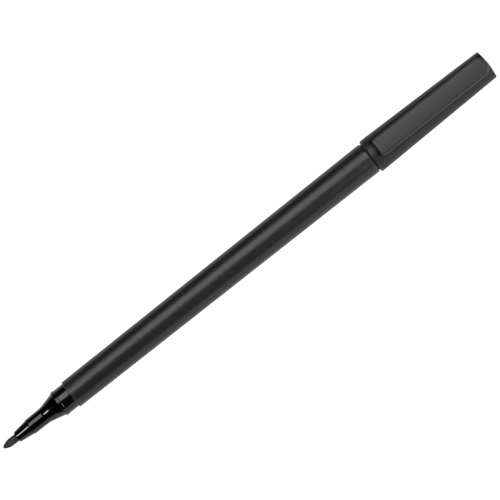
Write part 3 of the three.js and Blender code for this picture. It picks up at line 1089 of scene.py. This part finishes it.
camera_data = bpy.data.cameras.new("camera")
camera_data.sensor_width = SENSOR
camera_data.lens = SENSOR * DISTANCE / (PICTURE * MM_PER_PIXEL * MM)
camera_data.clip_end = 20
camera = bpy.data.objects.new("camera", camera_data)
camera.matrix_world = stand(target + to_camera * DISTANCE, right, up, to_camera)
bpy.context.scene.collection.objects.link(camera)
bpy.context.scene.camera = camera
print(f"lens {camera_data.lens:.0f} mm at {DISTANCE} m")

# %% [markdown]
# ## The floor
#
# The photograph has a plain white ground without an edge or a shadow, because it was retouched to
# white. So the camera sees a floor that glows, with its rim curved up, so that low views end in
# white too. What the marker really lay on can be read from its rims. The lower right one mirrors a
# pale table that goes on and on. The upper left one has only a thin pale line, and black beside it:
# there the table ended close behind the marker. Only the marker sees this table, not the camera.

# %% Floor and table
floor_rim = 0.7
table_near_y = -1
table_far_y = 75 * MM


def glow(piece, name, colour, strength):
    """Paints a ground matt, and lets it give off an even white light of its own."""
    ground = new_material(name)[0]
    paint(piece, ground, {
        "Base Color": to_linear(colour), "Roughness": 0.9, "Specular IOR Level": 0.2,
        "Emission Color": (1, 1, 1, 1), "Emission Strength": strength})


bpy.ops.object.select_all(action="DESELECT")
bpy.ops.mesh.primitive_circle_add(vertices=96, radius=4, fill_type="NGON")
floor = open_piece("studio_floor")
choose("EDGE", lambda e: e.is_boundary)
bpy.ops.mesh.extrude_edges_move(TRANSFORM_OT_translate={"value": (0, 0, floor_rim)})
choose("EDGE", lambda e: max(v.co.z for v in e.verts) < 0.01)
bpy.ops.mesh.bevel(offset=floor_rim / 2, segments=8)
bpy.ops.mesh.select_all(action="SELECT")
bpy.ops.mesh.normals_make_consistent(inside=True)
bpy.ops.object.mode_set(mode="OBJECT")
bpy.ops.object.shade_smooth_by_angle(angle=CREASE)
floor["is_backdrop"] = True
floor.visible_diffuse = floor.visible_glossy = floor.visible_shadow = False
glow(floor, "pale ground, glowing", "#707070", 0.97)

bpy.ops.object.select_all(action="DESELECT")
bpy.ops.mesh.primitive_plane_add(
    size=1,
    location=(0, (table_near_y + table_far_y) / 2, -0.5 * MM),
    scale=(1, table_far_y - table_near_y, 1),
)
table = open_piece("studio_table")
bpy.ops.object.mode_set(mode="OBJECT")
table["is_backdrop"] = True
table.visible_camera = False
glow(table, "white table, matt", "#a0a0a0", 0.42)

# %% [markdown]
# ## The lights
#
# Black plastic has almost no colour of its own. What the eye sees on it is a picture of the room,
# so the lights are placed where the highlights of the photograph ask for them. A cylinder mirrors
# a light that stands 30 degrees to one side as a line 15 degrees to that side, so the width and
# place of each bright band give the size and place of its light: a softbox to the upper left, a
# small lamp beyond the writing end, and a low white card at the lower right. A fourth light stands
# far past the cap. No side of the pen mirrors it, and it only lifts the matt plastic along the
# lower right.

# %% Lights
LIGHTS = (
    # name, degrees towards the cap and to the upper left, then distance, length and height in
    # metres, and radiance
    ("softbox", 3, 30.3, 1.2, 0.66, 0.95, 3.2),
    ("small_lamp", -27.5, 18, 1.2, 0.3, 0.26, 16),
    ("low_card", 0, -76, 1.5, 1.8, 0.47, 1.05),
    ("side_fill", 45, -26, 0.7, 0.5, 0.4, 6.6),
)
ROOM_LIGHT = 0.012


def light_direction(forward, sideways):
    """The way to a light, in degrees from the camera: towards the cap, and to the upper left."""
    tilt = math.radians(math.hypot(forward, sideways))
    around = math.atan2(sideways, forward)
    side = along * math.cos(around) + across * math.sin(around)
    return to_camera * math.cos(tilt) + side * math.sin(tilt)


def add_softbox(name, forward, sideways, distance, length, height, radiance):
    """A rectangular light aimed at the marker, its length in line with the pen."""
    data = bpy.data.lights.new(name, "AREA")
    data.shape = "RECTANGLE"
    data.size, data.size_y = length, height
    data.energy = radiance * math.pi * length * height
    back = light_direction(forward, sideways)
    x_axis = (along - back * along.dot(back)).normalized()
    light = bpy.data.objects.new(name, data)
    light.matrix_world = stand(middle + back * distance, x_axis, back.cross(x_axis), back)
    light.visible_camera = False
    bpy.context.scene.collection.objects.link(light)
    print(f"{name}: {length} x {height} m, {data.energy:.2f} W")


for light in LIGHTS:
    add_softbox(*light)

world = bpy.data.worlds.new("studio")
world.use_nodes = True
background = world.node_tree.nodes["Background"]
background.inputs["Color"].default_value = (ROOM_LIGHT, ROOM_LIGHT, ROOM_LIGHT, 1)
bpy.context.scene.world = world
bpy.context.scene.view_settings.view_transform = "Standard"

# %% Print the bounds of the CAD and of the new pieces
visual_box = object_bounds()
for name, box in (("CAD", cad_box), ("visual", visual_box)):
    print(name, [[round(value / MM, 3) for value in corner] for corner in box])
